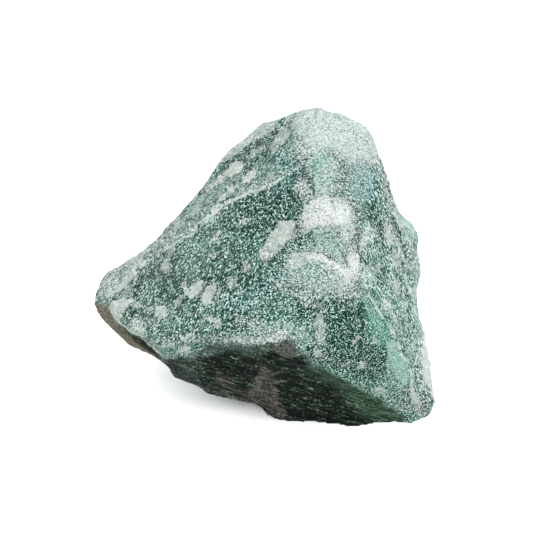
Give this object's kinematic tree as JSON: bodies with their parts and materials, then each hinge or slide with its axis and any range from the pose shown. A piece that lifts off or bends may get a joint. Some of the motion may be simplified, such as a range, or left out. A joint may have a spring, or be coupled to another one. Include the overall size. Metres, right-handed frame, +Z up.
{
  "type": "rough amazonite stone",
  "caption": "Hand-size rough lump of green stone, broken into faces, ledges and hollows. It stands on a flat break as a display piece or paperweight.",
  "frame": {"origin": "under the middle of the stone, on the flat break that it rests on", "axes": "+Z up, +X to the right along its longest side as seen in the picture, +Y to the back"},
  "size_m": [0.062, 0.0464, 0.0451],
  "materials": {
    "green_stone": "rough sugary break in deep to pale green, thick with small white flecks, with smooth see-through patches and a faint sparkle"
  },
  "bodies": {
    "root": {"stone": "green_stone"}
  },
  "joints": []
}
